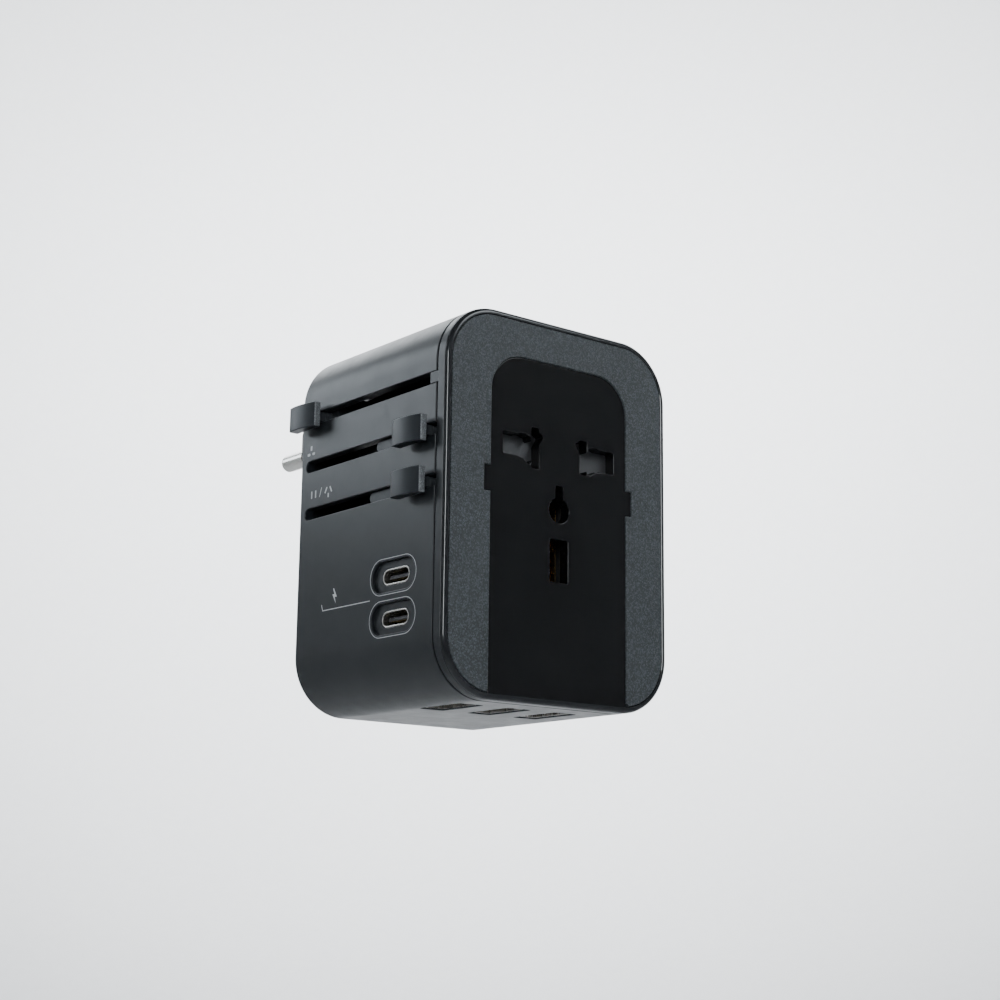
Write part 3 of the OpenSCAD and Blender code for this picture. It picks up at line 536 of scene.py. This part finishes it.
shell = combine(cup(), side_tools() + bottom_tools() + rear_tools())
place(shell, "shell_sleeve", SHELL, "case", ["main_shell"])


# ---------------------------------------------------------------- front cover and socket panel


# The panel's outline, straight down to the bottom edge with round top corners only, follows a dark area that is partly
# painted shade.
PANEL_W, PANEL_TOP, PANEL_BOTTOM, PANEL_R = 17.8, 30.3, -37.9, 8.0
NOTCH_W, NOTCH_Z = 19.4, (1.7, 6.95)


def panel_outline(g):
    """Outline of the socket panel with its two side notches, grown by g."""
    w, notch, top, r = PANEL_W + g, NOTCH_W + g, PANEL_TOP + g, PANEL_R + g
    low, high = NOTCH_Z[0] - g, NOTCH_Z[1] + g
    right = [(w, PANEL_BOTTOM), (w, low), (notch, low), (notch, high), (w, high)]
    right += arc(w - r, top - r, r, 0, 90, 12)
    return right + [(-x, z) for x, z in reversed(right)]


def build_cover_band():
    """Plain side band behind the seam's gap, with the tongue that closes the top slot."""
    rear, rim = SEAM_Y - 0.25, 0.18
    steps = [(-WALL, rear), (-rim, rear)] + [(-g, rear - d) for g, d in quarter(rim, 3)][1:]
    steps += [(0, BAND_Y + 0.06), (-0.05, BAND_Y + 0.01), (-0.2, BAND_Y), (-WALL, BAND_Y)]
    ring = skin("band", on_y, outer, steps, closed=True)
    half, tongue_rear = 1.15, -46.25
    tongue = box("tongue", (-HALF_W + 0.05, SEAM_Y - 0.4, SLOT_Z[0] - half),
                 (-HALF_W + WALL, tongue_rear, SLOT_Z[0] + half), 0.12)
    return combine(ring, [tongue], "UNION")


def build_cover_bevel():
    """Polished rounded bevel with a narrow flat rim round the face."""
    bevel_r, rim, rim_depth = 0.82, 1.22, 0.8
    steps = [(-WALL, BAND_Y - 0.02), (-0.12, BAND_Y - 0.02)]
    steps += [(-0.04 - bevel_r * (1 - math.cos(a)), BAND_Y - 0.03 - bevel_r * math.sin(a))
              for a in [math.pi / 24 * i for i in range(13)]]
    steps += [(-rim + 0.06, FACE_Y), (-rim, FACE_Y + 0.06), (-rim, FACE_Y + rim_depth), (-WALL, FACE_Y + rim_depth)]
    return skin("bevel", on_y, outer, steps, closed=True)


def build_cover_face():
    """Textured plate inside the ring, arched round the panel."""
    inset, plate_r, thick = 1.36, 0.14, 1.6
    steps = [(-inset, FACE_Y + thick)]
    steps += [(-inset - g, FACE_Y + d) for g, d in reversed(quarter(plate_r, 3))]
    plate = skin("plate", on_y, outer, steps)
    opening = cutter(on_y, FACE_Y, 1, panel_outline, 2.5, 0.25)
    half = PANEL_W + 0.4
    below = box("below", (-half, FACE_Y - 1, -HALF_H - 1), (half, FACE_Y + 3, -HALF_H + 2), 0)
    return combine(plate, [opening, below])


def round_hole(r, x, z):
    """Round opening that can grow."""
    return grown(2 * r, 2 * r, r - 0.001, x, z, 8)


def socket_holes():
    """Holes for the pins of each plug kind: European, British, American, Australian, then the three earths."""
    pin_r = 2.55
    holes = []
    for s in (-1, 1):
        holes.append(round_hole(pin_r, 9.5 * s, SOCKET_Z))
        holes.append(grown(7, 4.5, 0.3, UK_PIN_X * s, SOCKET_Z, 3))
        holes.append(grown(1.9, 7.0 if s > 0 else 8.3, 0.3, 6.35 * s, SOCKET_Z, 3))
        holes.append(turned_rect(1.9, 7.2, 0.3, 30 * s, 6.85 * s, SOCKET_Z))
    return holes + [round_hole(pin_r, 0, 0.3), grown(1.9, 7.2, 0.3, 0, 1.7, 3), grown(4.6, 8.6, 0.3, 0, -10, 3)]


def build_panel():
    """Glossy socket panel, a little behind the face; its near-black tone is partly painted shade."""
    front, rear = FACE_Y + 0.3, FACE_Y + 2.8
    r = 0.22
    steps = [(0, rear), (0, front + r)] + [(-g, front + d) for g, d in reversed(quarter(r, 3))][1:]
    panel = skin("panel", on_y, panel_outline, steps)
    return combine(panel, [cutter(on_y, front, 1, hole, 4, 0.25) for hole in socket_holes()])


place(build_cover_band(), "cover_band", BAND, "case", ["front_cover"])
place(build_cover_bevel(), "cover_bevel", FRAME_GLOSS, "case", ["front_cover"])
place(build_cover_face(), "cover_face", FACE, "case", ["front_cover"])
place(build_panel(), "panel_insert", PANEL, "case", ["socket_panel"])


# ---------------------------------------------------------------- knobs


KNOB_X, KNOB_HALF_L, KNOB_HALF_H = (-32.6, -30.2), 4.4, 2.65
CROWN_R, CROWN_Y = 16.0, 1.3


def thumb_face_x(along):
    """Height of the crowned face at a distance along the knob from its middle."""
    return KNOB_X[0] + CROWN_R - math.sqrt(CROWN_R ** 2 - (along - CROWN_Y) ** 2)


def build_knob(y, z):
    """Slab with a crowned thumb face, thickest towards the plugs, and softened edges."""
    steps = 12
    along = [KNOB_HALF_L * i / steps for i in range(-steps, steps + 1)]
    outline = [(thumb_face_x(t), y + t) for t in along]
    outline += [(KNOB_X[1], y + KNOB_HALF_L), (KNOB_X[1], y - KNOB_HALF_L)]
    knob = loft("knob", [[on_z(z + s * KNOB_HALF_H)(p) for p in outline] for s in (-1, 1)])
    add_bevel(knob, 0.2, 3, 25)
    evaluated(knob)
    clean(knob.data)
    return knob


def paint_front_end_light(knob, y):
    """Gives the knob's front end the eroded finish and a lighter colour, a painted highlight in place of a reflection.
    """
    knob.data.materials.append(KNOB_END_PAINTED_LIGHT)
    limit = y - KNOB_HALF_L + 0.8
    for face in knob.data.polygons:
        if face.normal.y < -0.45 and face.center.y < limit * MM:
            face.material_index = 1


for node, body, y, z in KNOBS:
    cap = place(build_knob(y, z), node + "_cap", KNOB, body, [node])
    paint_front_end_light(cap, y)


# ---------------------------------------------------------------- ports


def build_usb_a_contacts(x):
    """Four spring contacts on the tongue's free side."""
    side, half = x - 0.05, 0.5
    strips = [box("strip", (side - 0.05, USB_A_Y + o - half, -35.9), (side + 0.12, USB_A_Y + o + half, -28.5), 0.05)
              for o in (-3.5, -1.2, 1.2, 3.5)]
    return join("contacts", strips)


def build_usb_c_pads(z):
    """Contact pads on both sides of the tongue."""
    count, pitch, half = 12, 0.5, 0.13
    pads = []
    for s in (-1, 1):
        low, high = sorted((z + s * 0.33, z + s * 0.39))
        for i in range(count):
            y = USB_C_Y + (i - (count - 1) / 2) * pitch
            pads.append(box("pad", (-27.0, y - half, low), (-22.5, y + half, high), 0))
    return join("pads", pads)


for i, x in enumerate(USB_A_X):
    place(build_usb_a_contacts(x), f"usb_a_contacts_{i + 1}", GOLD, "case")
for z, which in zip(USB_C_Z, ("upper", "lower")):
    place(build_usb_c_pads(z), f"usb_c_pads_{which}", GOLD, "case")


# ---------------------------------------------------------------- shutter spring


def build_spring(centre, bottom, top):
    """Round wire wound on a helix about an upright axis."""
    coil_r, wire_r, turns, steps, sides = 1.2, 0.18, 4, 24, 10
    rings = []
    for i in range(turns * steps + 1):
        turn = 2 * math.pi * i / steps
        height = bottom + wire_r + (top - bottom - 2 * wire_r) * i / (turns * steps)
        section = arc(coil_r, height, wire_r, 0, 360 * (sides - 1) / sides, sides - 1)
        rings.append([(centre.x + r * math.cos(turn), centre.y + r * math.sin(turn), z) for r, z in section])
    return loft("spring", rings)


def add_shutter_spring():
    """The coil hangs on the case in place of the CAD spring, round the same axis and between the same heights."""
    low, high = (Vector(corner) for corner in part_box("shutter_spring"))
    axis = (low + high) / 2
    coil = place(build_spring(axis / MM, low.z / MM, high.z / MM), "shutter_coil", SPRING, "case",
                 ["shutter_spring"])
    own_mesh(coil)


add_shutter_spring()


# ---------------------------------------------------------------- print on the left side

PRINT_X, INK = -HALF_W - 0.015, 0.03

# Middle in Y and Z, width, height and turn of each bar: a three-pin plug above the middle slot, then straight blades
# and slanted blades above the bottom slot
BARS = (
    (-4.3, 17.2, 0.6, 1.0, 0), (-5.2, 15.9, 0.95, 0.55, 0), (-3.4, 15.9, 0.95, 0.55, 0),
    (-5.0, 6.9, 0.4, 1.6, 0), (-6.5, 6.9, 0.4, 1.6, 0),
    (-10.4, 7.1, 0.4, 1.4, 30), (-12.2, 7.1, 0.4, 1.4, -30), (-11.3, 5.9, 0.4, 0.9, 0),
)
# Ends and width of each line: the stroke between the two kinds of blade, then the bracket between the USB-C ports
LINES = (
    ((-8.0, 6.1), (-8.7, 7.9), 0.2),
    ((-27.5, -18.4), (-10.6, -18.4), 0.18),
    ((-10.6, -18.4), (-10.2, -17.2), 0.18),
)
BOLT = ((-14.6, -14.2), (-15.7, -16.0), (-14.95, -16.0), (-15.4, -17.4), (-14.1, -15.4), (-14.85, -15.4),
        (-14.3, -14.2))
RING_IN, RING_OUT = 0.45, 0.57


def ink(points):
    """Thin island of ink with the outline given in Y and Z."""
    return loft("ink", [[on_x(x)(p) for p in points] for x in (PRINT_X, PRINT_X + INK)])


def ink_line(a, b, width):
    """Round-ended line of ink between two points."""
    angle = math.degrees(math.atan2(b[1] - a[1], b[0] - a[0]))
    return ink(arc(*b, width / 2, angle - 90, angle + 90, 6) + arc(*a, width / 2, angle + 90, angle + 270, 6))


def ink_bar(cy, cz, w, h, angle):
    """Bar of ink with slightly rounded corners."""
    return ink(turned(round_rect(w, h, 0.08, 2), angle, cy, cz))


def ink_ring(z):
    """Fine line round a USB-C recess."""
    steps = [(RING_IN, PRINT_X), (RING_OUT, PRINT_X), (RING_OUT, PRINT_X + INK), (RING_IN, PRINT_X + INK)]
    return skin("ring", on_x, grown(*USB_C_RECESS, USB_C_Y, z, 12), steps, closed=True)


def build_print():
    """Generic marks beside the sliders and the ports."""
    rings = [ink_ring(z) for z in USB_C_Z]
    return join("print", rings + [ink_bar(*bar) for bar in BARS] + [ink_line(*line) for line in LINES] + [ink(BOLT)])


place(build_print(), "side_print", PRINT, "case")


# ---------------------------------------------------------------- floor, light and camera


FLOOR_Z, FLAT_R, BEND_R, RISE, SIDES = -0.42, 1.4, 1.2, 3.6, 96


def build_floor():
    """Pale floor that sweeps up into a wall all round the object, in metres."""
    line = [(0.25 * i, 0.0) for i in range(1, 6)] + arc(FLAT_R, BEND_R, BEND_R, -90, 0, 24) + [(FLAT_R + BEND_R, RISE)]
    verts = [(0, 0, FLOOR_Z)]
    for radius, z in line:
        turns = [2 * math.pi * k / SIDES for k in range(SIDES)]
        verts += [(radius * math.cos(a), radius * math.sin(a), z + FLOOR_Z) for a in turns]
    faces = [(0, 1 + k, 1 + (k + 1) % SIDES) for k in range(SIDES)]
    for i in range(len(line) - 1):
        a, b = 1 + i * SIDES, 1 + (i + 1) * SIDES
        faces += [(a + k, b + k, b + (k + 1) % SIDES, a + (k + 1) % SIDES) for k in range(SIDES)]
    mesh = bpy.data.meshes.new("floor")
    mesh.from_pydata(verts, [], faces)
    for face in mesh.polygons:
        face.use_smooth = True
    floor = bpy.data.objects.new("floor", mesh)
    bpy.context.scene.collection.objects.link(floor)
    paint = surface("floor_paint", (0.78, 0.79, 0.8), 0.8, grain=40, relief=0.05, vary=0.012, specular=0.1)
    floor.data.materials.append(paint)


def area_light(name, at, target, size, power, colour, spread=180):
    """Soft light that the camera doesn't see, in metres and watts."""
    data = bpy.data.lights.new(name, "AREA")
    data.shape = "RECTANGLE"
    data.size, data.size_y = size
    data.energy = power
    data.color = colour
    data.spread = math.radians(spread)
    light = bpy.data.objects.new(name, data)
    bpy.context.scene.collection.objects.link(light)
    light.location = at
    light.visible_camera = False
    light.rotation_mode = "QUATERNION"
    light.rotation_quaternion = (Vector(target) - Vector(at)).to_track_quat("-Z", "Y")


def set_world(strength, colour):
    """Even light from all round."""
    world = bpy.data.worlds.new("studio")
    world.use_nodes = True
    back = world.node_tree.nodes["Background"]
    back.inputs["Color"].default_value = (*colour, 1)
    back.inputs["Strength"].default_value = strength
    bpy.context.scene.world = world


CAMERA_AT = (-0.23773, -0.33074, -0.07881)
YAW, PITCH, ROLL = 38.541, 12.484, 0.707
LENS, SENSOR = 67.31, 36


def set_camera():
    """Camera at the photograph's place: yaw to the right, pitch upwards, roll."""
    yaw, pitch, roll = (math.radians(a) for a in (YAW, PITCH, ROLL))
    forward = Vector((math.sin(yaw) * math.cos(pitch), math.cos(yaw) * math.cos(pitch), math.sin(pitch)))
    right = Vector((math.cos(yaw), -math.sin(yaw), 0))
    up = right.cross(forward)
    right, up = right * math.cos(roll) + up * math.sin(roll), up * math.cos(roll) - right * math.sin(roll)
    data = bpy.data.cameras.new("camera")
    data.sensor_width = SENSOR
    data.lens = LENS
    data.clip_start, data.clip_end = 0.02, 30
    camera = bpy.data.objects.new("camera", data)
    bpy.context.scene.collection.objects.link(camera)
    turn = Matrix((right, up, -forward)).transposed().to_4x4()
    camera.matrix_world = Matrix.Translation(CAMERA_AT) @ turn
    bpy.context.scene.camera = camera


# Name, place, target, size, power, colour, and spread where it is narrower than half a turn
LIGHTS = (
    # Lights the wall behind the object
    ("backdrop", (0.35, 0.43, 0.75), (1.7, 2.1, 0.95), (1.4, 0.8), 66, (0.97, 0.985, 1.0), 100),
    # The window, mirrored in the left side
    ("left_rear", (-0.165, 0.2, 0.135), (-0.029, -0.01, 0.03), (0.15, 0.13), 0.265, (0.85, 0.93, 1.0)),
    # Streak along the upper corners
    ("top_rear", (0.06, 0.45, 0.42), (-0.02, -0.02, 0.035), (0.25, 0.25), 0.6, (0.9, 0.96, 1.0)),
    # Fills the front
    ("front_right", (0.35, -0.6, 0.45), (0, -0.05, 0), (0.3, 0.3), 2.2, (0.9, 0.96, 1.0)),
    # Streaks on the bevels
    ("front_left", (-0.65, -0.67, 0.21), (-0.03, -0.05, 0), (0.14, 0.4), 5.0, (0.92, 0.97, 1.0)),
)

build_floor()
set_world(0.24, (0.9, 0.95, 1.0))
for light in LIGHTS:
    area_light(*light)
set_camera()
